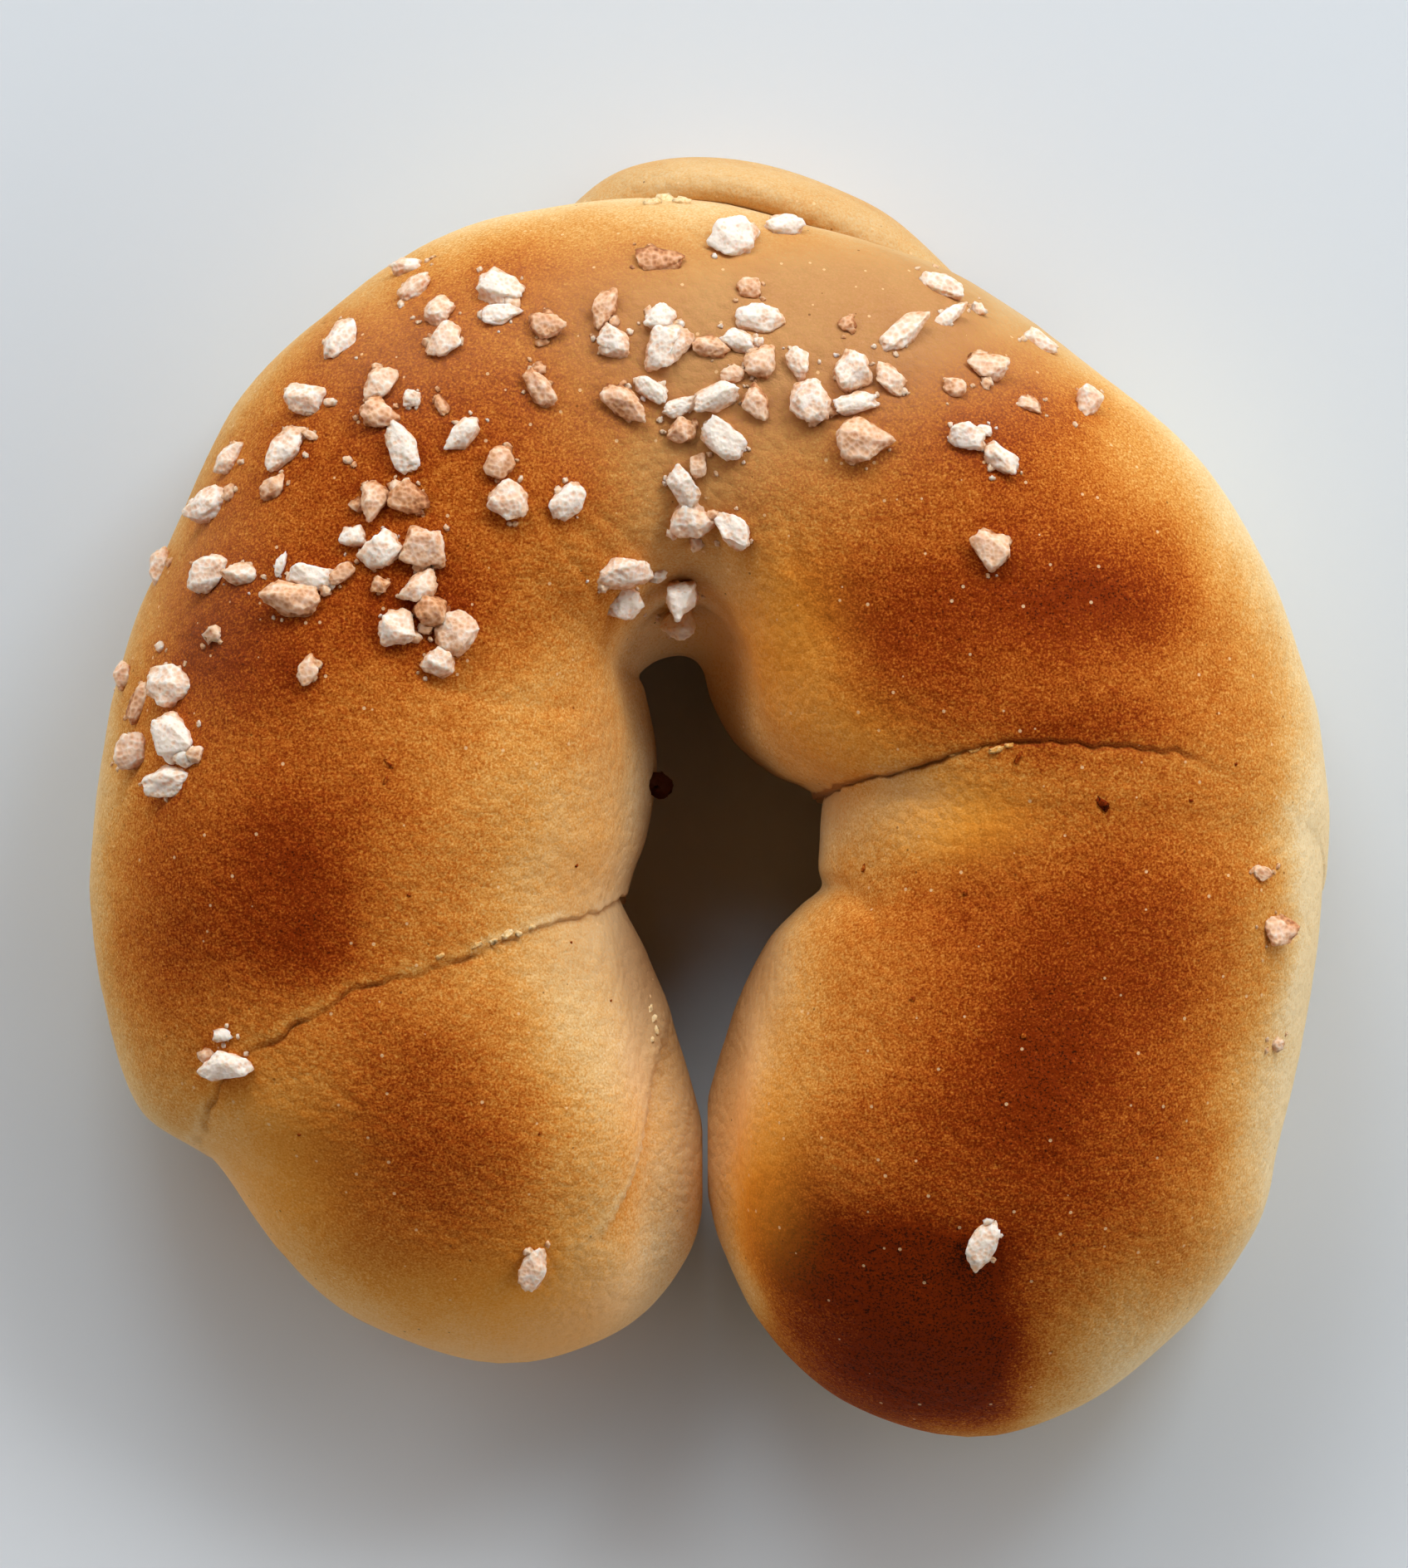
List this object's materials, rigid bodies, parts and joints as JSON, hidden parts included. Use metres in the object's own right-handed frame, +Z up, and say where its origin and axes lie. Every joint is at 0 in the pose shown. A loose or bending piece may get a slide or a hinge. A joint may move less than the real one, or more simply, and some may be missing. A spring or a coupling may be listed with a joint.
{
  "type": "crescent roll",
  "caption": "Baked sweet roll, wrapped and curled into a crescent whose two horns almost meet round a small hole, with pearl sugar on its crown.",
  "frame": {"origin": "centre of the roll's footprint, at the level of the surface it rests on", "axes": "+Z up, -Y towards the tips of the two horns, +X towards the side of the larger horn"},
  "size_m": [0.1191, 0.1235, 0.0404],
  "materials": {
    "crust": "baked golden to brown crust, satin, with white sugar nibs"
  },
  "bodies": {
    "root": {"crescent_roll": "crust"}
  },
  "joints": []
}
